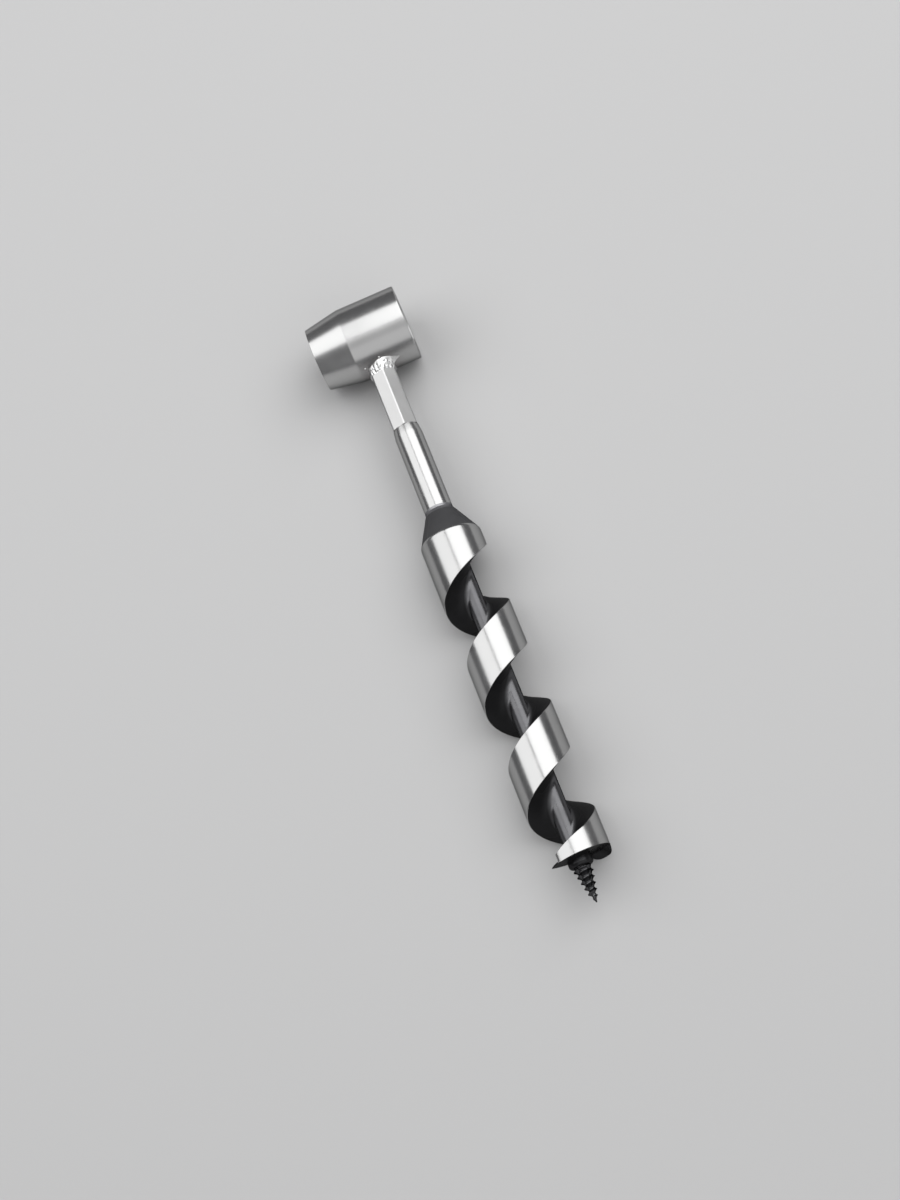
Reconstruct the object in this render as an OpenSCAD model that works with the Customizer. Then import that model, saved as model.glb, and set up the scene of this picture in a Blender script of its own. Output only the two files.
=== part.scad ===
// Hand auger bit for a push-through stick handle: a turned eye tube welded across the hexagon
// of a wood auger bit, with a ground round shank, a single-flight twist and a lead screw.
// The tool lies on a flat surface. The origin is the middle of the eye's bore, where it meets the
// line of the bit. +X runs along the bore to the square end of the eye, and the screw points to -Y.

/* [Eye tube] */
// Outside diameter of the eye tube
eye_od = 31.6; // [29:0.1:38]
// Bore that the stick handle passes through
eye_bore = 25.5; // [18:0.1:26]
// From the line of the bit to the square end of the tube
eye_square_reach = 16.8; // [13:0.1:30]
// From the line of the bit to the bevelled end of the tube
eye_bevel_reach = 23.2; // [20:0.1:40]
// Length of the outside bevel that thins the wall to a peg-cutting edge
eye_bevel_len = 14.7; // [5:0.1:18]
// Thickness of the wall left at the bevelled end
eye_edge_wall = 0.45; // [0.2:0.05:1]
// Chamfer on both edges of the square end
eye_chamfer = 0.3; // [0.1:0.1:1]

/* [Shank] */
// Hexagon size across its flats
hex_af = 10; // [8:0.1:11]
// Turn of the hexagon's upper corner away from straight up, in degrees
hex_turn = 5; // [-30:1:30]
// Length of the flats below the eye tube
hex_len = 29.7; // [15:0.1:60]
// Diameter of the round shank
round_d = 11.5; // [9:0.1:14]
// Length of the round shank
round_len = 39.6; // [15:0.1:80]
// Diameter at the top of the round shank's lead-in
round_lead_d = 10.6; // [9:0.1:14]
// Length of the lead-in at the top of the round shank
round_lead = 3.5; // [0.5:0.1:8]

/* [Weld] */
// Width of the weld bead on the tube
weld_tube_leg = 2.3; // [1.6:0.1:4]
// Extra width of the bead towards the square end of the tube, taken off the other side
weld_lean = 1.2; // [0:0.1:1.2]
// Height of the weld bead on the hexagon
weld_hex_leg = 3.6; // [1:0.1:6]
// How far the face of the bead bulges out
weld_bulge = 0.4; // [0.1:0.1:1.5]
// Ripples around the bead
weld_ripples = 9; // [0:1:12]
// Height of a ripple
weld_ripple_h = 0.2; // [0:0.05:0.4]

/* [Twist] */
// Diameter of the hole that the bit bores
bit_d = 25; // [20:0.1:31]
// Half angle of the shoulder cone
shoulder_angle = 27; // [20:1:45]
// Rounding where the shoulder meets the lands
shoulder_round = 0.3; // [0.2:0.1:2]
// Length from the full diameter to the cutting edge
twist_len = 136.6; // [100:0.1:200]
// Advance of the flight in one turn
pitch = 44; // [36:0.1:60]
// Width of the land along the axis
land_w = 19.15; // [12:0.05:24]
// Diameter of the core between the flutes
core_d = 7; // [5:0.1:9]
// Fillet between the core and the flight's upper face
core_fillet = 2.5; // [1:0.1:3]
// Fillet between the core and the flight's lower face, which narrows to the other one at the throat
under_fillet = 6.5; // [1:0.1:8]
// Length over which the flute runs out below the shoulder
runout_len = 9; // [5:0.5:20]
// Full round left between the shoulder and the flute
runout_gap = 0.5; // [0.5:0.1:5]
// Length of the flute's sloping end wall
runout_wall = 6; // [3:0.5:12]

/* [Cutting end] */
// Direction of the outer corner of the cutting lip, from +X towards +Z
lip_angle = 145; // [0:1:359]
// Angle by which the thin lip leads the throat face
lip_lead = 21; // [10:0.5:35]
// Thickness of the lip where it leaves the throat face
lip_t = 0.7; // [0.5:0.1:2]
// Thickness of the lip just behind its edge
lip_edge_t = 0.3; // [0.2:0.05:0.45]
// Height of the throat face over the cutting edge
throat_h = 3.4; // [2.5:0.1:6]
// Angle that the upper face turns through where it flattens towards the throat
throat_sweep = 65.5; // [40:0.5:90]
// Length over which the upper face flattens towards the throat
throat_run = 6.1; // [3:0.1:8]
// Relief of the end face in one turn
end_relief = 4.9; // [1:0.1:6]
// Angle from the lip's corner back to the heel of the end face
heel_span = 226; // [170:1:235]
// Direction of the scoring spur, behind the lip's corner
spur_behind = 186; // [150:1:200]
// Angle that the spur covers at the rim
spur_span = 70; // [40:1:90]
// Height of the spur over the end face
spur_h = 2.7; // [0.5:0.1:4]

/* [Lead screw] */
// Diameter of the boss at the end face
boss_d = 9.6; // [8:0.1:11]
// Rounding of the boss where the thread starts
boss_round = 1.5; // [0.5:0.1:1.5]
// Length of the boss beyond the cutting edge
boss_len = 2; // [1.6:0.1:5]
// Length of the thread to its point
screw_len = 13.8; // [8:0.1:20]
// Advance of the thread in one turn
thread_pitch = 2.3; // [1.5:0.1:4]
// Root diameter of the thread at the boss
thread_root_d = 6.1; // [4:0.1:6.5]
// Root diameter of the thread at the point
thread_tip_d = 0.5; // [0.4:0.1:1.5]
// Depth of the thread
thread_depth = 1; // [0.3:0.05:1.2]

/* [Hidden] */
$fn = 96;

// Places along the bit, measured from the middle of the bore towards the screw
hex_end = eye_od / 2 + hex_len;
shoulder_top = hex_end + round_len;
twist_top = shoulder_top + (bit_d - round_d) / 2 / tan(shoulder_angle);
cut_edge = twist_top + twist_len;
boss_end = cut_edge + boss_len;
screw_tip = boss_end + screw_len;

bit_r = bit_d / 2;
core_r = core_d / 2;
boss_r = boss_d / 2;
boss_end_r = boss_r - boss_round;
hex_corner_r = hex_af / sqrt(3);

// The tool lies on the eye tube and on the rim of the last land
lie_angle = asin((eye_od - bit_d) / 2 / cut_edge);

// The round's lead-in laps over the end of the hexagon
round_lap = 0.3;

// Angles of the flight: turn per millimetre, width of the land and of the flute
turn_rate = 360 / pitch;
land_angle = land_w * turn_rate;
flute_angle = 360 - land_angle;

// Draft of the flight's sides, as an angle at the core
side_draft = 2;
// Lean of the throat face, as a share of the lip's lean
throat_lean = 0.5;
// Share of the lip's lead that its thin part covers, before the bevel of the edge
lip_thin_share = 0.8;
// Share of the end face, from the rim inwards, over which the spur comes down
spur_inset = 0.25;
// A point of the outline this close to the rim belongs to the rim
rim_margin = 0.01;
// Crest and flank of the thread, as shares of its pitch, and the turns over which it rises at the boss
// and fades at the point
crest_half = 0.04;
flank = 0.3;
rise_turns = 0.4;
fade_turns = 1.5;
// Gap under the weld bead, which keeps its flat facets out of the round tube
weld_seat = 0.12;

// Steps of the computed surfaces
land_steps = 16;
fillet_steps = 4;
core_steps = 8;
ring_pitch = pitch / 36;
throat_rings = 4;
boss_rings = 3;
weld_steps = 36;
weld_face_steps = 4;
thread_points = 12;
thread_rings_per_turn = 14;

function blend(a, b, t) = a + (b - a) * t;
function limit(x, low, high) = min(high, max(low, x));
function ease(t) = let (s = limit(t, 0, 1)) s * s * (3 - 2 * s);
function at(r, angle, along) = [r * cos(angle), r * sin(angle), along];

// Smaller of two sizes, with a rounded corner where they meet
function soft_min(a, b, k) =
    let (h = limit(0.5 + (b - a) / k / 2, 0, 1))
    blend(b, a, h) - k * h * (1 - h);

// Triangles of a closed skin over rings of equal count, with fans over both ends
function skin_faces(rings, count) = concat(
    [for (i = [0 : rings - 2], j = [0 : count - 1], half = [0, 1])
        let (a = i * count, b = a + count, next = (j + 1) % count)
        half == 0 ? [a + j, b + j, a + next] : [b + j, b + next, a + next]],
    [for (j = [0 : count - 1]) [rings * count, j, (j + 1) % count]],
    [for (j = [0 : count - 1])
        let (last = (rings - 1) * count)
        [rings * count + 1, last + (j + 1) % count, last + j]]
);

// A closed solid skinned over rings of points, from its start centre to its end centre
module skin(rings, start, end) {
    count = len(rings[0]);
    points = concat([for (ring = rings, p = ring) p], [[0, 0, start], [0, 0, end]]);
    polyhedron(points, skin_faces(len(rings), count), convexity = 10);
}

// Turns a shape made along +Z into the line of the bit, lying on the surface
module along_bit() {
    rotate([90 + lie_angle, 0, 0]) children();
}

// Eye tube: a turned tube with a square end and an end bevelled to a thin edge
module eye_tube() {
    color("silver")
    rotate([0, 90, 0])
    rotate_extrude()
    polygon([
        [eye_bore / 2, -eye_bevel_reach],
        [eye_bore / 2 + eye_edge_wall, -eye_bevel_reach],
        [eye_od / 2, eye_bevel_len - eye_bevel_reach],
        [eye_od / 2, eye_square_reach - eye_chamfer],
        [eye_od / 2 - eye_chamfer, eye_square_reach],
        [eye_bore / 2 + eye_chamfer, eye_square_reach],
        [eye_bore / 2, eye_square_reach - eye_chamfer]
    ]);
}

// Shank: the hexagon, coped to sit on the eye tube, and the ground round below it
module shank() {
    color("lightgray")
    along_bit()
    difference() {
        union() {
            rotate([0, 0, 90 - hex_turn]) cylinder(h = hex_end, r = hex_corner_r, $fn = 6);
            translate([0, 0, hex_end]) rotate_extrude() polygon([
                [0, -round_lap],
                [round_lead_d / 2, -round_lap],
                [round_d / 2, round_lead],
                [round_d / 2, round_len],
                [0, round_len]
            ]);
        }
        rotate([0, 90, 0]) cylinder(h = 2 * eye_od, d = eye_od, center = true);
    }
}

// Weld bead: a rippled fillet around the hexagon, following the saddle on the eye tube
function hex_r(angle) = hex_af / 2 / cos((angle - 90 + hex_turn + 360) % 60 - 30);
function saddle(r, angle) = weld_seat + sqrt(pow(eye_od / 2, 2) - pow(r * sin(angle), 2));
function weld_ring(angle) =
    let (
        inner = hex_r(angle),
        outer = inner + weld_tube_leg + weld_lean * cos(angle),
        root = saddle(inner, angle),
        swell = weld_bulge + weld_ripple_h * cos(weld_ripples * angle)
    )
    concat(
        [at(inner, angle, root)],
        [for (k = [0 : weld_face_steps])
            let (t = k / weld_face_steps, out = swell * sin(180 * t))
            at(
                blend(outer, inner, t) + out,
                angle,
                blend(saddle(outer, angle), root + weld_hex_leg, t) + out
            )]
    );

module weld_bead() {
    rings = [for (k = [0 : weld_steps - 1]) weld_ring(90 - hex_turn + k * 360 / weld_steps)];
    count = len(rings[0]);
    faces = [for (i = [0 : weld_steps - 1], j = [0 : count - 1], half = [0, 1])
        let (a = i * count, b = (i + 1) % weld_steps * count, next = (j + 1) % count)
        half == 0 ? [a + j, a + next, b + j] : [b + j, a + next, b + next]];
    color("gainsboro")
    along_bit()
    polyhedron([for (ring = rings, p = ring) p], faces, convexity = 6);
}

// Twist: shoulder cone, single flight on a core, throat, cutting lip, spur and boss

// Radius of the turned blank that the flute is cut from
function blank_r(d) =
    soft_min(bit_r, round_d / 2 + (d - shoulder_top) * tan(shoulder_angle), shoulder_round);

// Direction of the flight's upper face at a distance along the bit, down to the throat and the lip
throat_angle = lip_angle - lip_lead;
throat_place = cut_edge - throat_h;
flat_start = throat_place - throat_run;
function upper_face(d) =
    d < flat_start ? throat_angle - throat_sweep - (flat_start - d) * turn_rate :
    throat_angle - throat_sweep * limit((throat_place - d) / throat_run, 0, 1);

// Direction of the flight's lower face, which stops at the heel of the end face
function lower_face(d) =
    min(lip_angle - heel_span, throat_angle - throat_sweep - land_angle + (d - flat_start) * turn_rate);

// How far the lip and the throat lean from a radius towards a line that touches the boss
function lip_lean(d) =
    let (throat = throat_lean * ease((d - flat_start) / throat_run))
    blend(throat, 1, limit((d - cut_edge + lip_t) / lip_t, 0, 1));
function lean_turn(r) = acos(boss_r / bit_r) - acos(min(1, boss_r / max(r, boss_r)));

// Extra turn of the thin lip beyond the throat face
function lip_turn(d) =
    let (up = cut_edge - d)
    up >= lip_t ? 0 :
    up > lip_edge_t ? lip_lead * lip_thin_share * (lip_t - up) / (lip_t - lip_edge_t) :
    lip_lead * blend(1, lip_thin_share, up / lip_edge_t);

// Radius and turn of each point on a side of the flight, from the rim down over the fillet to the core
function fillet_top_r(fillet) = sqrt(pow(core_r + fillet, 2) - pow(fillet, 2));
function fillet_point(fillet, k) =
    let (bend = blend(270, 180 + asin(fillet / (core_r + fillet)), k / fillet_steps))
    [fillet_top_r(fillet) + fillet * cos(bend), fillet + fillet * sin(bend)];
function side_points(fillet) = concat(
    [[bit_r, 0], [(bit_r + fillet_top_r(fillet)) / 2, side_draft / 2]],
    [for (k = [0 : fillet_steps]) let (p = fillet_point(fillet, k)) [norm(p), side_draft + atan2(p.y, p.x)]]
);
upper_side = side_points(core_fillet);
under_side = side_points(under_fillet);
side_last = len(upper_side) - 1;

// Radius of the flute's floor, which rises to the surface along the flute and at its end wall
function floor_r(d, past_upper) =
    let (
        middle = d + (past_upper - flute_angle / 2) / turn_rate,
        along_flute = ease((middle - twist_top) / runout_len),
        off_wall = ease((d - twist_top - runout_gap) / runout_wall)
    )
    blend(bit_r, core_r, along_flute * off_wall);

// One outline across the bit: [radius, direction] around the land, the flute and back
function outline(d) =
    let (
        start = lower_face(d),
        end = upper_face(d) + lip_turn(d),
        lean = lip_lean(d),
        natural = upper_face(min(d, flat_start)) + max(0, d - flat_start) * turn_rate,
        flute_end = start + 360,
        lower_side = blend(under_side, upper_side, ease((d - flat_start) / throat_run)),
        core_start = end + upper_side[side_last][1] + lean * lean_turn(core_r),
        core_end = flute_end - lower_side[side_last][1],
        raw = concat(
            [for (k = [0 : land_steps - 1]) [bit_r, blend(start, end, k / land_steps)]],
            [for (p = upper_side) [p[0], end + p[1] + lean * lean_turn(p[0])]],
            [for (k = [1 : core_steps - 1]) [core_r, blend(core_start, core_end, k / core_steps)]],
            [for (k = [side_last : -1 : 1]) [lower_side[k][0], flute_end - lower_side[k][1]]]
        )
    )
    [for (p = raw) [
        min(blank_r(d), p[1] <= end ? p[0] : max(p[0], floor_r(d, p[1] - natural))),
        p[1]
    ]];

// Height of the end face in a direction, rising behind the cutting edge
function behind_lip(angle) = lip_angle - angle;
function end_face(angle) =
    let (back = behind_lip(angle))
    cut_edge - end_relief / 360 * (back >= 0 ? back : heel_span * limit(-back / (360 - heel_span), 0, 1));
function spur(r, angle) =
    let (off = abs(behind_lip(angle) - spur_behind) / (spur_span / 2))
    r > bit_r - rim_margin && off < 1 ? spur_h * cos(90 * off * off) : 0;

// Rings are level down to the start of the throat, then follow the sloping end face
function settle(d, angle) =
    d <= flat_start ? d :
    blend(flat_start, end_face(angle), (d - flat_start) / (cut_edge - flat_start));
function twist_ring(d) = [for (p = outline(d)) at(p[0], p[1], settle(d, p[1]))];

plain_rings = ceil((flat_start - shoulder_top) / ring_pitch);
lip_rings = concat(
    [for (k = [1 : throat_rings]) blend(flat_start, throat_place, k / throat_rings)],
    [(throat_place + cut_edge - lip_t) / 2, cut_edge - lip_t, cut_edge - lip_edge_t]
);

// The last outline carries the spur on its rim, then the skin runs in over the end face to the boss
function rim_ring() = [for (p = outline(cut_edge)) at(p[0], p[1], end_face(p[1]) + spur(p[0], p[1]))];
function inner_ring(t) = [for (p = outline(cut_edge)) at(blend(p[0], boss_r, t), p[1], end_face(p[1]))];
function boss_ring(bend) = [for (p = outline(cut_edge))
    at(boss_end_r + boss_round * cos(bend), p[1], boss_end - boss_round * (1 - sin(bend)))];

module twist_body() {
    rings = concat(
        [for (k = [0 : plain_rings]) twist_ring(blend(shoulder_top, flat_start, k / plain_rings))],
        [for (d = lip_rings) twist_ring(d)],
        [rim_ring(), inner_ring(spur_inset), inner_ring(1)],
        [for (k = [0 : boss_rings]) boss_ring(90 * k / boss_rings)]
    );
    color("dimgray")
    along_bit()
    skin(rings, shoulder_top, boss_end);
}

// Lead screw: a tapered right-hand thread that draws the bit into the wood
function thread_shape(x) = limit((crest_half + flank - min(x, 1 - x)) / flank, 0, 1);
function thread_fade(along) =
    min(ease(along / (rise_turns * thread_pitch)), ease((screw_len - along) / (fade_turns * thread_pitch)));
function thread_ring(along) = [for (k = [0 : thread_points - 1])
    at(
        blend(thread_root_d, thread_tip_d, along / screw_len) / 2
            + thread_depth * thread_fade(along) * thread_shape(k / thread_points),
        360 * (along / thread_pitch + k / thread_points),
        boss_end + along
    )];
function thread_start() = [for (k = [0 : thread_points - 1])
    at(boss_end_r, 360 * k / thread_points, boss_end)];

module lead_screw() {
    steps = ceil(screw_len / thread_pitch * thread_rings_per_turn);
    rings = concat(
        [thread_start()],
        [for (k = [1 : steps - 1]) thread_ring(screw_len * k / steps)]
    );
    color("black")
    along_bit()
    skin(rings, boss_end, screw_tip);
}

eye_tube();
weld_bead();
shank();
twist_body();
lead_screw();
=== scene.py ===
import math

import bpy
import numpy as np
from mathutils import Matrix, Vector, noise


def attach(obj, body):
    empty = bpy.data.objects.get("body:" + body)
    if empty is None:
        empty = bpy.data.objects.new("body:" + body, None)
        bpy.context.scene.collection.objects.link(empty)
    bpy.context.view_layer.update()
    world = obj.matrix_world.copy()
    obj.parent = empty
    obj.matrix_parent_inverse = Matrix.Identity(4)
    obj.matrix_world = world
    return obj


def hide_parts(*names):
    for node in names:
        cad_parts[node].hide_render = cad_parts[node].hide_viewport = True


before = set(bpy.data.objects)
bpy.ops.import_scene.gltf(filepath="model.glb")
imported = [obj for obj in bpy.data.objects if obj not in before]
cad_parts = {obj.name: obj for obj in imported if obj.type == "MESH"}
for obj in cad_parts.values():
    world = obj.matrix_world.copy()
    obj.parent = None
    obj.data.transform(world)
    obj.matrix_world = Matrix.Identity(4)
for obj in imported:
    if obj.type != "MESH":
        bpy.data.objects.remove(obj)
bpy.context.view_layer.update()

MM = 0.001

# Sizes in millimetres and degrees, as in the part's source
eye_od = 31.6
eye_bore = 25.5
eye_square_reach = 16.8
eye_bevel_reach = 23.2
eye_bevel_len = 14.7
eye_edge_wall = 0.45
eye_chamfer = 0.3

hex_af = 10
hex_turn = 5
hex_len = 29.7
round_d = 11.5
round_len = 39.6
round_lead_d = 10.6
round_lead = 3.5

bit_d = 25
shoulder_angle = 27
shoulder_round = 0.3
twist_len = 136.6
pitch = 44
land_w = 19.15
core_d = 7
core_fillet = 2.5
under_fillet = 6.5
runout_len = 9
runout_gap = 0.5
runout_wall = 6

lip_angle = 145
lip_lead = 21
lip_t = 0.7
lip_edge_t = 0.3
throat_h = 3.4
throat_sweep = 65.5
throat_run = 6.1
end_relief = 4.9
heel_span = 226
spur_behind = 186
spur_span = 70
spur_h = 2.7
spur_inset = 0.25
side_draft = 2
throat_lean = 0.5
lip_thin_share = 0.8

boss_d = 9.6
boss_round = 1.5
boss_len = 2
screw_len = 13.8
thread_pitch = 2.3
thread_root_d = 6.1
thread_tip_d = 0.5
thread_depth = 1
rise_turns = 0.4
fade_turns = 1.5

# Radii, and places along the bit from the middle of the bore towards the screw
eye_r = eye_od / 2
hex_end = eye_r + hex_len
shoulder_top = hex_end + round_len
bit_r = bit_d / 2
core_r = core_d / 2
boss_r = boss_d / 2
boss_end_r = boss_r - boss_round
round_r = round_d / 2
shoulder_slope = math.tan(math.radians(shoulder_angle))
twist_top = shoulder_top + (bit_r - round_r) / shoulder_slope
cut_edge = twist_top + twist_len
boss_end = cut_edge + boss_len
lie_angle = math.asin((eye_od - bit_d) / 2 / cut_edge)
turn_rate = 360 / pitch
land_angle = land_w * turn_rate
flute_angle = 360 - land_angle
throat_angle = lip_angle - lip_lead
throat_place = cut_edge - throat_h
flat_start = throat_place - throat_run


def mix(a, b, t):
    return a + (b - a) * t


def limit(x, low, high):
    return min(high, max(low, x))


def ease(t):
    """From 0 to 1 with a soft start and end."""
    s = limit(t, 0, 1)
    return s * s * (3 - 2 * s)


# Angles are in degrees
def sin(angle):
    return math.sin(math.radians(angle))


def cos(angle):
    return math.cos(math.radians(angle))


def around(r, angle, along):
    """A point off the line of the bit, in millimetres."""
    return (r * cos(angle), r * sin(angle), along)


def soft_min(a, b, k):
    """The smaller of two values, rounded over k where they cross."""
    h = limit(0.5 + (b - a) / k / 2, 0, 1)
    return mix(b, a, h) - k * h * (1 - h)


# From the line of the bit, in millimetres, to the tool as it lies, in metres
lay_down = Matrix.Rotation(math.radians(90) + lie_angle, 4, "X") @ Matrix.Scale(MM, 4)
# From a shape turned about its own Z to the eye tube, in metres
lay_across = Matrix.Rotation(math.radians(90), 4, "Y") @ Matrix.Scale(MM, 4)

# Points closer than the first of these merge, and edges shorter than the second dissolve
merge_reach = 0.002 * MM
sliver_reach = 0.0005 * MM


def deselect():
    """Leave edit mode and select nothing."""
    if bpy.context.object and bpy.context.object.mode != "OBJECT":
        bpy.ops.object.mode_set(mode="OBJECT")
    bpy.ops.object.select_all(action="DESELECT")


def skin(name, rows, place, materials, finish_of=None, smooth_angle=30, ground_share=None):
    """A grid primitive wrapped into a closed skin: each row of points is a closed ring.
    The ground share of each point, in rows like the points, is kept for the materials."""
    row_count = len(rows)
    column_count = len(rows[0])
    deselect()
    bpy.ops.mesh.primitive_grid_add(x_subdivisions=column_count, y_subdivisions=row_count - 1, size=2)
    piece = bpy.context.object
    piece.name = name
    piece.data.name = name
    points = np.array([row + [row[0]] for row in rows], float)
    piece.data.vertices.foreach_set("co", points.ravel())
    for material in materials:
        piece.data.materials.append(material)
    if finish_of:
        marks = [finish_of(i, j) for i in range(row_count - 1) for j in range(column_count)]
        piece.data.polygons.foreach_set("material_index", marks)
    if ground_share:
        layer = piece.data.attributes.new("ground_share", "FLOAT", "POINT")
        shares = np.array([row + [row[0]] for row in ground_share], float)
        layer.data.foreach_set("value", shares.ravel())
    piece.data.transform(place)
    piece.data.update()
    bpy.ops.object.mode_set(mode="EDIT")
    bpy.ops.mesh.select_all(action="SELECT")
    bpy.ops.mesh.remove_doubles(threshold=merge_reach)
    bpy.ops.mesh.dissolve_degenerate(threshold=sliver_reach)
    bpy.ops.mesh.normals_make_consistent(inside=False)
    bpy.ops.mesh.quads_convert_to_tris(quad_method="SHORTEST_DIAGONAL")
    bpy.ops.object.mode_set(mode="OBJECT")
    bpy.ops.object.shade_smooth_by_angle(angle=math.radians(smooth_angle))
    return piece


def settle_piece(piece, node):
    """Every piece is part of the one rigid body."""
    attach(piece, "root")
    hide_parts(node)


# Camera, from a fit to the photograph, with its focal length in pixels
camera_place = Vector((29.58, -364.29, 610.27)) * MM
camera_tilt = 21.681
camera_yaw = 3.615
camera_roll = -0.875
photo_turn = 22.5
photo_height = 1200
focal_length = 1700
sensor_size = 36

back = Vector((cos(camera_tilt) * sin(camera_yaw), -sin(camera_tilt), cos(camera_tilt) * cos(camera_yaw)))
forward = -back
down = Vector((0, -1, 0))
down = (down - forward * down.dot(forward)).normalized()
right = down.cross(forward)
right, down = (
    right * cos(camera_roll) + down * sin(camera_roll),
    down * cos(camera_roll) - right * sin(camera_roll),
)
image_right = right * cos(photo_turn) + down * sin(photo_turn)
image_down = down * cos(photo_turn) - right * sin(photo_turn)
aim = Matrix((image_right, -image_down, back)).transposed().to_4x4()
lying = Matrix.Rotation(lie_angle, 4, "X")
camera_data = bpy.data.cameras.new("camera")
camera_data.sensor_width = sensor_size
camera_data.lens = focal_length / photo_height * sensor_size
camera = bpy.data.objects.new("camera", camera_data)
camera.matrix_world = lying @ Matrix.Translation(camera_place) @ aim
bpy.context.scene.collection.objects.link(camera)
bpy.context.scene.camera = camera


# Nodes that the materials share
def new_material(name):
    material = bpy.data.materials.new(name)
    material.use_nodes = True
    tree = material.node_tree
    shader = tree.nodes["Principled BSDF"]
    place = tree.nodes.new("ShaderNodeTexCoord")
    return material, tree, shader, place


def noise_of(tree, place, scale, stretch=(1, 1, 1), turn=(0, 0, 0), detail=3):
    """Noise in the piece's own place."""
    mapping = tree.nodes.new("ShaderNodeMapping")
    mapping.inputs["Rotation"].default_value = turn
    mapping.inputs["Scale"].default_value = stretch
    texture = tree.nodes.new("ShaderNodeTexNoise")
    texture.inputs["Scale"].default_value = scale
    texture.inputs["Detail"].default_value = detail
    tree.links.new(place.outputs["Object"], mapping.inputs["Vector"])
    tree.links.new(mapping.outputs["Vector"], texture.inputs["Vector"])
    return texture.outputs["Fac"]


def ramp(tree, value, low, high, start=0.3, end=0.7):
    """Low at the start of a value's range and high at its end."""
    ranged = tree.nodes.new("ShaderNodeMapRange")
    ranged.inputs["From Min"].default_value = start
    ranged.inputs["From Max"].default_value = end
    ranged.inputs["To Min"].default_value = low
    ranged.inputs["To Max"].default_value = high
    tree.links.new(value, ranged.inputs["Value"])
    return ranged.outputs["Result"]


def tint(tree, value, dark, light):
    """A colour between two fixed ones."""
    mixed = tree.nodes.new("ShaderNodeMix")
    mixed.data_type = "RGBA"
    mixed.inputs["A"].default_value = (*dark, 1)
    mixed.inputs["B"].default_value = (*light, 1)
    tree.links.new(value, mixed.inputs["Factor"])
    return mixed.outputs["Result"]


def shade_between(tree, factor, first, second):
    """A colour between two that are made by nodes."""
    mixed = tree.nodes.new("ShaderNodeMix")
    mixed.data_type = "RGBA"
    tree.links.new(factor, mixed.inputs["Factor"])
    tree.links.new(first, mixed.inputs["A"])
    tree.links.new(second, mixed.inputs["B"])
    return mixed.outputs["Result"]


def calculate(tree, operation, first, second):
    node = tree.nodes.new("ShaderNodeMath")
    node.operation = operation
    for socket, value in zip(node.inputs, (first, second)):
        if isinstance(value, (int, float)):
            socket.default_value = value
        else:
            tree.links.new(value, socket)
    return node.outputs["Value"]


# The line of the bit as a direction, for finishes and painted shade that change along it or with the
# distance from it
bit_line = (0, -math.cos(lie_angle), -math.sin(lie_angle))


def off_line(tree, place):
    """Distance from the line of the bit."""
    crossed = tree.nodes.new("ShaderNodeVectorMath")
    crossed.operation = "CROSS_PRODUCT"
    crossed.inputs[1].default_value = bit_line
    tree.links.new(place.outputs["Object"], crossed.inputs[0])
    length = tree.nodes.new("ShaderNodeVectorMath")
    length.operation = "LENGTH"
    tree.links.new(crossed.outputs["Vector"], length.inputs[0])
    return length.outputs["Value"]


def along_line(tree, place):
    """Distance along the line of the bit, from the middle of the bore."""
    dotted = tree.nodes.new("ShaderNodeVectorMath")
    dotted.operation = "DOT_PRODUCT"
    dotted.inputs[1].default_value = bit_line
    tree.links.new(place.outputs["Object"], dotted.inputs[0])
    return dotted.outputs["Value"]


def bump(tree, shader, value, strength, depth):
    node = tree.nodes.new("ShaderNodeBump")
    node.inputs["Strength"].default_value = strength
    node.inputs["Distance"].default_value = depth
    tree.links.new(value, node.inputs["Height"])
    tree.links.new(node.outputs["Normal"], shader.inputs["Normal"])


# Bare steel: its blue against its red, its clouds and tool lines, and its tint at a glancing angle
bare_blue = 0.995
bare_cloud_scale = 90
bare_line_strength = 0.3
bare_edge_tint = (0.4, 0.4, 0.4)
# Heat tint by the weld: where it fades off the line of the bit, and where it starts along it
heat_share = 0.6
heat_patch_share = 0.4
heat_fade = (6.8 * MM, 10.5 * MM)
heat_start = (8 * MM, 12 * MM)
heat_tones = ((0.3, 0.26, 0.3), (0.36, 0.33, 0.3))


def bare(value):
    """The grey of bare steel."""
    return (value, value, value * bare_blue)


def steel(name, tones, roughness, line_stretch, line_depth, heat=False):
    """Bare steel with tool lines, which run across the axis that line_stretch scales up most."""
    material, tree, shader, place = new_material(name)
    turn = (-lie_angle, 0, 0)
    lines = noise_of(tree, place, 1, line_stretch, turn, detail=2)
    clouds = noise_of(tree, place, bare_cloud_scale, turn=turn, detail=4)
    colour = tint(tree, clouds, bare(tones[0]), bare(tones[1]))
    if heat:
        ring = ramp(tree, off_line(tree, place), heat_share, 0, *heat_fade)
        near = ramp(tree, along_line(tree, place), 0, 1, *heat_start)
        patches = ramp(tree, clouds, heat_patch_share, 1)
        amount = calculate(tree, "MULTIPLY", calculate(tree, "MULTIPLY", ring, near), patches)
        colour = shade_between(tree, amount, colour, tint(tree, clouds, *heat_tones))
    shader.inputs["Metallic"].default_value = 1
    shader.inputs["Specular Tint"].default_value = (*bare_edge_tint, 1)
    tree.links.new(colour, shader.inputs["Base Color"])
    tree.links.new(ramp(tree, clouds, *roughness), shader.inputs["Roughness"])
    bump(tree, shader, lines, bare_line_strength, line_depth)
    return material


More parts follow.
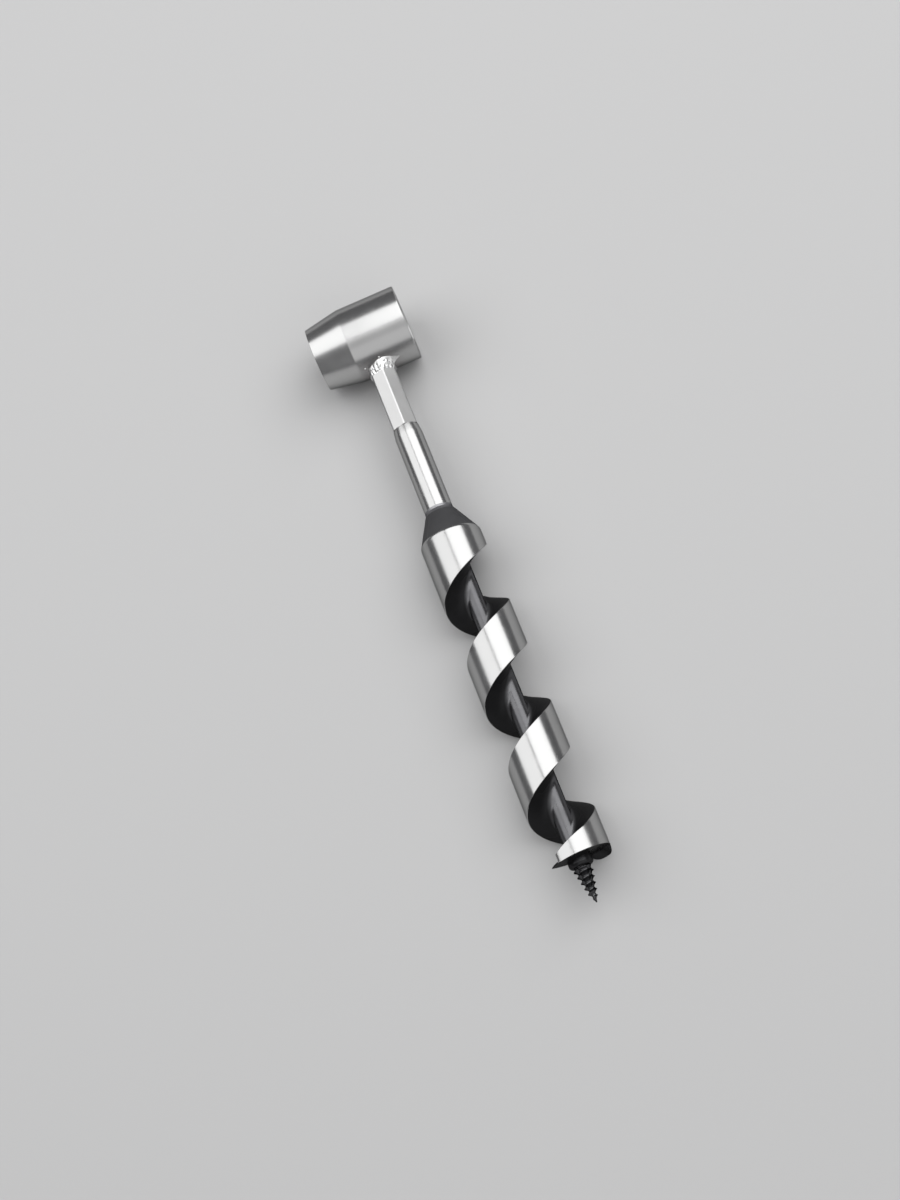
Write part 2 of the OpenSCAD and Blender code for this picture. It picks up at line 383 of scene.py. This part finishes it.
land_tones = (0.4, 0.47)
turned_steel = steel("turned_steel", (0.48, 0.54), (0.21, 0.27), (15000, 40, 40), 0.003 * MM, heat=True)
satin_steel = steel("satin_steel", (0.55, 0.61), (0.33, 0.4), (40, 9000, 40), 0.004 * MM)
ground_steel = steel("ground_steel", (0.42, 0.48), (0.18, 0.27), (40, 12000, 40), 0.003 * MM)
land_steel = steel("land_steel", land_tones, (0.17, 0.26), (80, 9000, 80), 0.003 * MM)
weld_metal = steel("weld_metal", (0.7, 0.86), (0.3, 0.42), (900, 900, 900), 0.05 * MM)

# Blackened steel: its blue against its red, its clouds and grain, its gloss and its glancing tint
black_blue = 1.04
black_cloud_scale = 140
black_grain_scale = 2600
black_grain_strength = 0.25
black_grain_depth = 0.02 * MM
black_gloss = 0.2
black_edge_tint = (0.02, 0.02, 0.02)


def black(value):
    """The grey of blackened steel."""
    return (value, value, value * black_blue)


def blackened(name, tones, roughness, metal=0.7, change=None, dull_or_shade=None, ground=False):
    """Blackened steel. It may change, between two distances off or along the bit, to a dull finish or to
    a darker painted shade:
    the tuple for it has the two tones, how much rougher it is and how metallic.
    It may also be ground bright like the lands, by the ground share of the points."""
    material, tree, shader, place = new_material(name)
    grain = noise_of(tree, place, black_grain_scale)
    clouds = noise_of(tree, place, black_cloud_scale, detail=5)
    colour = tint(tree, clouds, black(tones[0]), black(tones[1]))
    rough = ramp(tree, clouds, *roughness)
    shader.inputs["Specular Tint"].default_value = (*black_edge_tint, 1)
    shader.inputs["Specular IOR Level"].default_value = black_gloss
    shader.inputs["Metallic"].default_value = metal
    if change:
        measure, start, end = change
        # The second finish is a real dull finish on the shoulder, and painted shade on the flute's walls
        dull_or_shade_dark, dull_or_shade_light, dull_or_shade_rough, dull_or_shade_metal = dull_or_shade
        fringe = calculate(tree, "MULTIPLY", clouds, (end - start) / 2)
        where = calculate(tree, "ADD", measure(tree, place), fringe)
        amount = ramp(tree, where, 0, 1, start, end)
        dull_or_shade_colour = tint(tree, clouds, black(dull_or_shade_dark), black(dull_or_shade_light))
        colour = shade_between(tree, amount, colour, dull_or_shade_colour)
        rough = calculate(tree, "ADD", calculate(tree, "MULTIPLY", amount, dull_or_shade_rough), rough)
        metallic = ramp(tree, amount, metal, dull_or_shade_metal, 0, 1)
        if ground:
            kept = tree.nodes.new("ShaderNodeAttribute")
            kept.attribute_name = "ground_share"
            bright = kept.outputs["Fac"]
            land_colour = tint(tree, clouds, bare(land_tones[0]), bare(land_tones[1]))
            colour = shade_between(tree, bright, colour, land_colour)
            metallic = calculate(tree, "MAXIMUM", metallic, bright)
            rough = calculate(tree, "SUBTRACT", rough, calculate(tree, "MULTIPLY", bright, dull_or_shade_rough))
            grain = calculate(tree, "MULTIPLY", grain, ramp(tree, bright, 1, 0, 0, 1))
            edge_tint = tint(tree, bright, black_edge_tint, bare_edge_tint)
            tree.links.new(edge_tint, shader.inputs["Specular Tint"])
        tree.links.new(metallic, shader.inputs["Metallic"])
    tree.links.new(colour, shader.inputs["Base Color"])
    tree.links.new(rough, shader.inputs["Roughness"])
    bump(tree, shader, grain, black_grain_strength, black_grain_depth)
    return material


# The flute's walls away from the core are painted darker and duller than the core, as painted shade, and
# the cone is grey by the shank
painted_wall_shade_ramp = ((core_r + 0.1) * MM, (core_r + 1.5) * MM)
grey_ring_end = ((shoulder_top + 1) * MM, (shoulder_top + 1.8) * MM)
black_flute = blackened(
    "black_flute",
    (0.12, 0.165),
    (0.2, 0.3),
    metal=1,
    change=(off_line, *painted_wall_shade_ramp),
    # These dark, dull tones are painted shade on the flute's walls
    dull_or_shade=(0.023, 0.032, 0.2, 0.6),
    ground=True,
)
black_shoulder = blackened(
    "black_shoulder",
    (0.26, 0.34),
    (0.4, 0.5),
    metal=1,
    change=(along_line, *grey_ring_end),
    dull_or_shade=(0.085, 0.11, 0.05, 0.6),
)
black_end = blackened("black_end", (0.03, 0.045), (0.2, 0.3))
black_screw = blackened("black_screw", (0.065, 0.1), (0.06, 0.1), metal=0.95)

# Eye tube, turned from a profile in this many steps
tube_steps = 192
# Softening of the profile's corners, and rows beside them that keep the faces flat
edge_soft = 0.08
edge_row = 0.5
near_row = 0.05
far_row = 0.3
bore_row = 0.4
bend_sink = 0.002
chamfer_row = 0.06
chamfer_sink = 0.03


def tube_profile():
    """Places along the bore and radii."""
    inner = eye_bore / 2
    edge = inner + eye_edge_wall
    thin_end = -eye_bevel_reach
    square_end = eye_square_reach
    bend = thin_end + eye_bevel_len
    slope = (eye_r - edge) / eye_bevel_len
    chamfer = square_end - eye_chamfer
    return [
        (thin_end + edge_soft, inner),
        (thin_end, inner + edge_soft),
        (thin_end, edge - edge_soft),
        (thin_end + edge_soft, edge + edge_soft * slope),
        (thin_end + edge_row, edge + edge_row * slope),
        (mix(thin_end, bend, 0.5), mix(edge, eye_r, 0.5)),
        (bend - far_row, eye_r - far_row * slope),
        (bend - near_row, eye_r - near_row * slope),
        (bend + near_row, eye_r - bend_sink),
        (bend + far_row, eye_r),
        (0, eye_r),
        (chamfer - far_row, eye_r),
        (chamfer - chamfer_row, eye_r),
        (chamfer + near_row, eye_r - chamfer_sink),
        (square_end - near_row, eye_r - eye_chamfer + chamfer_sink),
        (square_end, eye_r - eye_chamfer - chamfer_row),
        (square_end, inner + eye_chamfer + chamfer_row),
        (square_end - near_row, inner + eye_chamfer - chamfer_sink),
        (chamfer + near_row, inner + chamfer_sink),
        (chamfer - chamfer_row, inner),
        (chamfer - bore_row, inner),
        (0, inner),
        (thin_end + edge_row, inner),
        (thin_end + edge_soft, inner),
    ]


tube_rows = [
    [around(r, 360 * k / tube_steps, place) for k in range(tube_steps)]
    for place, r in tube_profile()
]
eye_tube = skin("eye_tube_turned", tube_rows, lay_across, [turned_steel])
settle_piece(eye_tube, "eye_tube")

# Shank: the hexagon with softened corners, coped to the tube, then the ground round
hex_corner = 0.35
hex_flat_steps = 12
hex_corner_steps = 4
hex_steps = 6
lead_r = round_lead_d / 2
# Rows of the lead-in: the share of its growth and of its length
lead_rows = ((0, 0), (0.1, 0.1), (0.9, 0.9), (1, 1.1), (1, 1.5))
# The grinding of the round stops this far above the shoulder
ground_stop = 1


def tube_height(r, angle):
    """Where the outside of the tube is, along the bit."""
    return math.sqrt(eye_r**2 - (r * sin(angle)) ** 2)


def hex_outline():
    """Radii and angles round the hexagon."""
    flat_r = hex_af / 2
    flat_half = flat_r * math.tan(math.radians(30)) - hex_corner
    arc = hex_corner * math.sqrt(3)
    side = []
    for step in range(-hex_flat_steps, hex_flat_steps + 1):
        side.append((flat_r, flat_half * step / hex_flat_steps))
    for step in range(1, hex_corner_steps):
        bend = 60 * step / hex_corner_steps
        side.append((flat_r - arc * (1 - cos(bend)), flat_half + arc * sin(bend)))
    ring = []
    for k in range(6):
        middle = 90 - hex_turn + 30 + 60 * k
        for out, across in side:
            ring.append((math.hypot(out, across), middle + math.degrees(math.atan2(across, out))))
    return ring


hex_ring = hex_outline()
shank_rows = [[around(0, angle, tube_height(0, angle)) for _, angle in hex_ring]]
for step in range(hex_steps + 1):
    shank_rows.append(
        [around(r, a, mix(tube_height(r, a), hex_end, step / hex_steps)) for r, a in hex_ring]
    )
round_rings = [(mix(lead_r, round_r, grown), hex_end + share * round_lead) for grown, share in lead_rows]
round_rings.append((round_r, mix(hex_end, shoulder_top, 0.5)))
round_rings.append((round_r, shoulder_top - ground_stop))
for r, along in round_rings:
    shank_rows.append([around(r, angle, along) for _, angle in hex_ring])
ground_end = len(shank_rows) - 1
for r in (round_r, 0):
    shank_rows.append([around(r, angle, shoulder_top) for _, angle in hex_ring])

HEXAGON = 0
ROUND = 1
GREY_RING = 2
shank_materials = [satin_steel, ground_steel, black_shoulder]


def shank_finish(row, column):
    if row <= hex_steps:
        return HEXAGON
    return ROUND if row < ground_end else GREY_RING


shank = skin("shank_ground", shank_rows, lay_down, shank_materials, shank_finish)
settle_piece(shank, "shank")

# Twist body, with the worn edges of its lands rounded: one point of the rounding is at the rim share
rim_round = 0.28
rim_turn = math.degrees(rim_round / bit_r)
rim_share = 0.3
land_steps = 56
core_steps = 36
fillet_steps = 12
side_shares = (0.12, 0.4, 0.7)
# The ground finish fades where the flute gets this deep
ground_fade = 0.5
# The grinding of the lands reaches this far onto the cone
ground_over = 0.4


def blank_r(d):
    """Radius of the turned blank that the flute is cut from."""
    return soft_min(bit_r, round_r + (d - shoulder_top) * shoulder_slope, shoulder_round)


def upper_face(d):
    """Direction of the flight's upper face along the bit, down to the throat and the lip."""
    if d < flat_start:
        return throat_angle - throat_sweep - (flat_start - d) * turn_rate
    return throat_angle - throat_sweep * limit((throat_place - d) / throat_run, 0, 1)


def lower_face(d):
    """Direction of the flight's lower face, which stops at the heel of the end face."""
    winding = throat_angle - throat_sweep - land_angle + (d - flat_start) * turn_rate
    return min(lip_angle - heel_span, winding)


def lip_lean(d):
    """Share by which the lip and the throat lean from a radius to a line that touches the boss."""
    throat = throat_lean * ease((d - flat_start) / throat_run)
    return mix(throat, 1, limit((d - cut_edge + lip_t) / lip_t, 0, 1))


def lean_turn(r):
    """Turn of a full lean."""
    return math.degrees(math.acos(boss_r / bit_r) - math.acos(min(1, boss_r / max(r, boss_r))))


def lip_turn(d):
    """Extra turn of the thin lip beyond the throat face."""
    up = cut_edge - d
    if up >= lip_t:
        return 0
    if up > lip_edge_t:
        return lip_lead * lip_thin_share * (lip_t - up) / (lip_t - lip_edge_t)
    return lip_lead * mix(1, lip_thin_share, up / lip_edge_t)


def side_of_flight(fillet):
    """Radii and turns of one side of the flight, from the rim over the fillet to the core."""
    fillet_top_r = math.sqrt((core_r + fillet) ** 2 - fillet**2)
    last = 180 + math.degrees(math.asin(fillet / (core_r + fillet)))
    points = [(bit_r - rim_round, 0)]
    for share in side_shares:
        points.append((mix(bit_r, fillet_top_r, share), side_draft * share))
    for k in range(fillet_steps + 1):
        bend = mix(270, last, k / fillet_steps)
        x = fillet_top_r + fillet * cos(bend)
        y = fillet + fillet * sin(bend)
        points.append((math.hypot(x, y), side_draft + math.degrees(math.atan2(y, x))))
    return points


upper_side = side_of_flight(core_fillet)
under_side = side_of_flight(under_fillet)


def floor_r(d, past_upper):
    """Radius of the flute's floor, which rises along the flute and at its end wall."""
    middle = d + (past_upper - flute_angle / 2) / turn_rate
    along_flute = ease((middle - twist_top) / runout_len)
    off_wall = ease((d - twist_top - runout_gap) / runout_wall)
    return mix(bit_r, core_r, along_flute * off_wall)


def outline(d):
    """Radii, angles and ground shares round the twist at one place along it."""
    start = lower_face(d)
    end = upper_face(d) + lip_turn(d)
    lean = lip_lean(d)
    winding = upper_face(min(d, flat_start)) + max(0, d - flat_start) * turn_rate
    flute_end = start + 360
    near_throat = ease((d - flat_start) / throat_run)
    lower_side = [
        (mix(wide[0], tight[0], near_throat), mix(wide[1], tight[1], near_throat))
        for wide, tight in zip(under_side, upper_side)
    ]
    core_start = end + upper_side[-1][1] + lean * lean_turn(core_r)
    core_end = flute_end - lower_side[-1][1]
    points = [(bit_r - rim_share * rim_round, start + rim_share * rim_turn)]
    for k in range(land_steps + 1):
        points.append((bit_r, mix(start + rim_turn, end - rim_turn, k / land_steps)))
    points.append((bit_r - rim_share * rim_round, end - rim_share * rim_turn))
    for r, turn in upper_side:
        points.append((r, end + turn + lean * lean_turn(r)))
    for k in range(1, core_steps):
        points.append((core_r, mix(core_start, core_end, k / core_steps)))
    for r, turn in reversed(lower_side):
        points.append((r, flute_end - turn))
    shaped = []
    for r, angle in points:
        in_flute = angle if angle > (start + end) / 2 else angle + 360
        floor = floor_r(d, in_flute - winding)
        shaped.append((min(blank_r(d), max(r, floor)), angle, 1 - ease((bit_r - floor) / ground_fade)))
    return shaped


def end_face(angle):
    """Place of the end face along the bit, which rises behind the cutting edge."""
    behind = lip_angle - angle
    if behind < 0:
        behind = heel_span * limit(-behind / (360 - heel_span), 0, 1)
    return cut_edge - end_relief / 360 * behind


def spur(angle):
    """How far the spur stands out of the end face."""
    off = abs(lip_angle - angle - spur_behind) / (spur_span / 2)
    return spur_h * cos(90 * off * off) if off < 1 else 0


def settle(d, angle):
    """Rows are level down to the start of the throat, then follow the end face."""
    if d <= flat_start:
        return d
    return mix(flat_start, end_face(angle), (d - flat_start) / (cut_edge - flat_start))


# Stretches of the twist, from the shoulder down: where each one ends and how many rows it has
runout_end = twist_top + runout_len + flute_angle / turn_rate / 2
twist_stretches = (
    (runout_end, 160),
    (flat_start, 180),
    (throat_place, 16),
    (cut_edge - lip_t, 6),
    (cut_edge - lip_edge_t, 4),
    (cut_edge, 2),
)
twist_places = []
stretch_start = shoulder_top
for stretch_end, count in twist_stretches:
    twist_places += [mix(stretch_start, stretch_end, k / count) for k in range(count)]
    stretch_start = stretch_end

# Rows of the end face, as shares of the way in from the outline to the boss
end_shares = (0, 0.02, 0.06, 0.11, 0.17, spur_inset, 0.4, 0.6, 0.8, 1)
# The inner side of the spur falls by this power, and only from points on the rim
spur_fall = 1.4
rim_margin = 0.01
rim_limit = bit_r - rim_round - rim_margin
boss_bends = range(0, 91, 15)

outlines = [outline(d) for d in twist_places]
last_outline = outline(cut_edge)
twist_rows = [[around(0, angle, shoulder_top) for _, angle, _ in outlines[0]]]
for d, shape in zip(twist_places, outlines):
    twist_rows.append([around(r, angle, settle(d, angle)) for r, angle, _ in shape])
for t in end_shares:
    ring = []
    for r, angle, _ in last_outline:
        drop = limit(1 - t / spur_inset, 0, 1) ** spur_fall if r > rim_limit else 0
        ring.append(around(mix(r, boss_r, t), angle, end_face(angle) + drop * spur(angle)))
    twist_rows.append(ring)
for bend in boss_bends:
    out = boss_end_r + boss_round * cos(bend)
    along = boss_end - boss_round * (1 - sin(bend))
    twist_rows.append([around(out, angle, along) for _, angle, _ in last_outline])
twist_rows.append([around(0, angle, boss_end) for _, angle, _ in last_outline])
ground_rows = [[share for _, _, share in shape] for shape in outlines]
ground_rows = [ground_rows[0]] + ground_rows
ground_rows += [[0] * len(last_outline)] * (len(twist_rows) - len(ground_rows))

FLUTE = 0
LAND = 1
SHOULDER = 2
END = 3
twist_materials = [black_flute, land_steel, black_shoulder, black_end]
# The land has the first columns and the last one, which closes the ring
land_columns = land_steps + 3
last_column = len(last_outline) - 1


def twist_finish(row, column):
    if row >= len(twist_places):
        return END
    d = twist_places[row]
    if d < twist_top - ground_over:
        return SHOULDER
    if column < land_columns or column == last_column:
        on_lip = d > cut_edge - lip_t and outlines[row][column][1] > throat_angle
        return END if on_lip else LAND
    return FLUTE


twist = skin(
    "twist_body_smooth",
    twist_rows,
    lay_down,
    twist_materials,
    twist_finish,
    smooth_angle=32,
    ground_share=ground_rows,
)
settle_piece(twist, "twist_body")

# Lead screw, with a power for its hollow flanks
flank_power = 1.9
screw_columns = 60
screw_rings_per_turn = 60
screw_steps = math.ceil(screw_len / thread_pitch * screw_rings_per_turn)


def thread_shape(x):
    """Share of the thread's depth, from one crest round to the next."""
    return (1 - 2 * min(x, 1 - x)) ** flank_power


def thread_fade(along):
    """The thread rises out of the boss and fades towards the point."""
    rise = ease(along / (rise_turns * thread_pitch))
    return min(rise, ease((screw_len - along) / (fade_turns * thread_pitch)))


def plain_ring(r, along):
    """A ring of points with no thread."""
    return [around(r, 360 * k / screw_columns, along) for k in range(screw_columns)]


screw_rows = [plain_ring(0, boss_end), plain_ring(boss_end_r, boss_end)]
for step in range(1, screw_steps):
    along = screw_len * step / screw_steps
    root = mix(thread_root_d, thread_tip_d, along / screw_len) / 2
    ring = []
    for k in range(screw_columns):
        share = k / screw_columns
        r = root + thread_depth * thread_fade(along) * thread_shape(share)
        ring.append(around(r, 360 * (along / thread_pitch + share), boss_end + along))
    screw_rows.append(ring)
screw_rows.append(plain_ring(0, boss_end + screw_len))
screw = skin("lead_screw_smooth", screw_rows, lay_down, [black_screw], smooth_angle=40)
settle_piece(screw, "lead_screw")

# Weld bead: an uneven fillet of overlapping ripples round the hexagon, with drops of spatter on the tube
weld_steps = 180
weld_face_steps = 24
# The bead starts this far off the tube, and reaches this far into the hexagon
weld_seat = 0.01
weld_root = 0.05
# Direction round the hexagon, width on the tube, height on the hexagon, hollowness and bulge of the face
weld_shape = (
    (0, 0.5, 2.4, 1.3, 0.1),
    (12, 0.8, 3.0, 1.6, 0),
    (18, 2.0, 3.4, 2.2, 0.1),
    (23, 4.2, 3.6, 2.6, 0.35),
    (29, 3.4, 3.6, 2.3, 0.35),
    (44, 2.8, 3.4, 1.5, 0.2),
    (65, 2.2, 3.6, 1.3, 0.35),
    (85, 0.9, 4.4, 1.3, 0.4),
    (105, 0.9, 4.2, 1.3, 0.35),
    (124, 0.8, 3.9, 1.3, 0.3),
    (154, 0.5, 3.2, 1.3, 0.2),
    (180, 0.5, 2.8, 1.3, 0.2),
    (235, 1.8, 3.2, 1.3, 0.4),
    (300, 1.8, 3.2, 1.3, 0.4),
    (345, 0.8, 2.5, 1.3, 0.2),
    (360, 0.5, 2.4, 1.3, 0.1),
)
# Ripples across the bead: their rate round it and start, how far they bow and wander, and their height
ripple_rate = 10
ripple_start = 20
ripple_bow = 45
ripple_wander = 70
ripple_height = 0.35
# Lumps of the bead: how close together they are and how high
lump_rate = 0.9
lump_height = 0.4
fine_rate = 2.1
fine_shift = Vector((7, 3, 1))
fine_height = 0.15
# Share of a swell that goes outwards, and as much along the bit
swell_share = 0.7
# Drops of spatter on the tube: place along the bore, height over the line of the bit and radius
spatter = ((-6.1, 4.4, 0.6), (1, 6.95, 0.5))


def hex_reach(angle):
    """Distance from the line of the bit to the side of the hexagon."""
    return hex_af / 2 / cos((angle - 90 + hex_turn + 360) % 60 - 30)


def weld_size(angle):
    """Sizes of the bead in a direction, eased between the rows of its shape."""
    for first, second in zip(weld_shape, weld_shape[1:]):
        if first[0] <= angle <= second[0]:
            t = ease((angle - first[0]) / (second[0] - first[0]))
            return [mix(a, b, t) for a, b in zip(first[1:], second[1:])]


def weld_row(angle):
    """From the corner under the bead, up its face to the hexagon."""
    width, height, hollow, bulge = weld_size(angle)
    inner = hex_reach(angle) - weld_root
    low = weld_seat + tube_height(inner, angle)
    ring = [around(inner, angle, low)]
    for k in range(weld_face_steps + 1):
        t = k / weld_face_steps
        r = inner + width * (1 - t) ** hollow
        along = weld_seat + tube_height(r, angle) + height * t**hollow
        spot = Vector(around(r, angle, along))
        lump = noise.noise(spot * lump_rate)
        fine = noise.noise(spot * fine_rate + fine_shift)
        wave = angle * ripple_rate + ripple_start + ripple_bow * sin(180 * t) + ripple_wander * lump
        ripple = abs(sin(wave)) - 0.5
        swell = bulge + ripple_height * ripple + lump_height * lump + fine_height * fine
        push = swell_share * swell * sin(180 * t)
        ring.append(around(r + push, angle, along + push))
    return ring


weld_rings = [weld_row(360 * k / weld_steps) for k in range(weld_steps)]
weld_rows = [[ring[k] for ring in weld_rings] for k in range(len(weld_rings[0]))]
weld_rows.append(weld_rows[0])
weld = skin("weld_bead_rippled", weld_rows, lay_down, [weld_metal], smooth_angle=50)
drops = []
for x, up, radius in spatter:
    sunk_r = eye_r - radius / 2
    spot = lay_down @ Vector((x, up, math.sqrt(sunk_r**2 - up**2)))
    deselect()
    bpy.ops.mesh.primitive_uv_sphere_add(segments=16, ring_count=10, radius=radius * MM, location=spot)
    drop = bpy.context.object
    drop.data.materials.append(weld_metal)
    bpy.ops.object.shade_smooth()
    drops.append(drop)
deselect()
for drop in drops:
    drop.select_set(True)
weld.select_set(True)
bpy.context.view_layer.objects.active = weld
bpy.ops.object.join()
settle_piece(weld, "weld_bead")

# Floor, round and centred under the tool
floor_radius = 0.9
floor_level = -eye_r * MM
stage_middle = -0.12
deselect()
bpy.ops.mesh.primitive_circle_add(
    vertices=128,
    radius=floor_radius,
    fill_type="NGON",
    location=(0, stage_middle, floor_level),
)
floor = bpy.context.object
floor.name = "floor"
floor_paint = bpy.data.materials.new("floor_paint")
floor_paint.use_nodes = True
floor_shader = floor_paint.node_tree.nodes["Principled BSDF"]
floor_shader.inputs["Base Color"].default_value = (0.52, 0.52, 0.52, 1)
floor_shader.inputs["Roughness"].default_value = 0.9
floor_shader.inputs["Specular IOR Level"].default_value = 0.1
floor.data.materials.append(floor_paint)

# Light: soft panels at one distance from the tool
panel_distance = 1.5


def panel(name, glow, to_side, to_back, across, along):
    """A panel that faces the tool and leans from the zenith to +X and then to +Y.
    It spans across and along, as shares of the distance."""
    width = (across[1] - across[0]) * panel_distance
    height = (along[1] - along[0]) * panel_distance
    lamp_data = bpy.data.lights.new(name, "AREA")
    lamp_data.shape = "RECTANGLE"
    lamp_data.size = width
    lamp_data.size_y = height
    lamp_data.energy = glow * math.pi * width * height
    lamp = bpy.data.objects.new(name, lamp_data)
    lean = Matrix.Rotation(math.radians(to_side), 4, "Y")
    lean = Matrix.Rotation(math.radians(-to_back), 4, "X") @ lean
    middle = Vector((sum(across) / 2, sum(along) / 2, 1)) * panel_distance
    lamp.matrix_world = Matrix.Translation((0, stage_middle, 0)) @ lean @ Matrix.Translation(middle)
    bpy.context.scene.collection.objects.link(lamp)


panel("top_panel_left", 1.75, -33.5, 0, (-0.51, 0.48), (-0.16, 0.97))
panel("top_panel_right", 2.2, 25.5, 0, (-0.56, 0.62), (-0.16, 0.96))
panel("front_panel_top", 0.85, 0, -13, (-0.34, 1.43), (-0.07, 0.07))
panel("front_panel_middle", 0.5, 0, -27.5, (-0.34, 1.43), (-0.185, 0.185))
panel("front_panel_low", 0.68, 0, -58.5, (-0.34, 1.43), (-0.374, 0.374))

world = bpy.data.worlds.new("studio")
world.use_nodes = True
world.node_tree.nodes["Background"].inputs["Color"].default_value = (0.17, 0.17, 0.175, 1)
world.node_tree.nodes["Background"].inputs["Strength"].default_value = 1
bpy.context.scene.world = world
bpy.context.scene.view_settings.view_transform = "Standard"
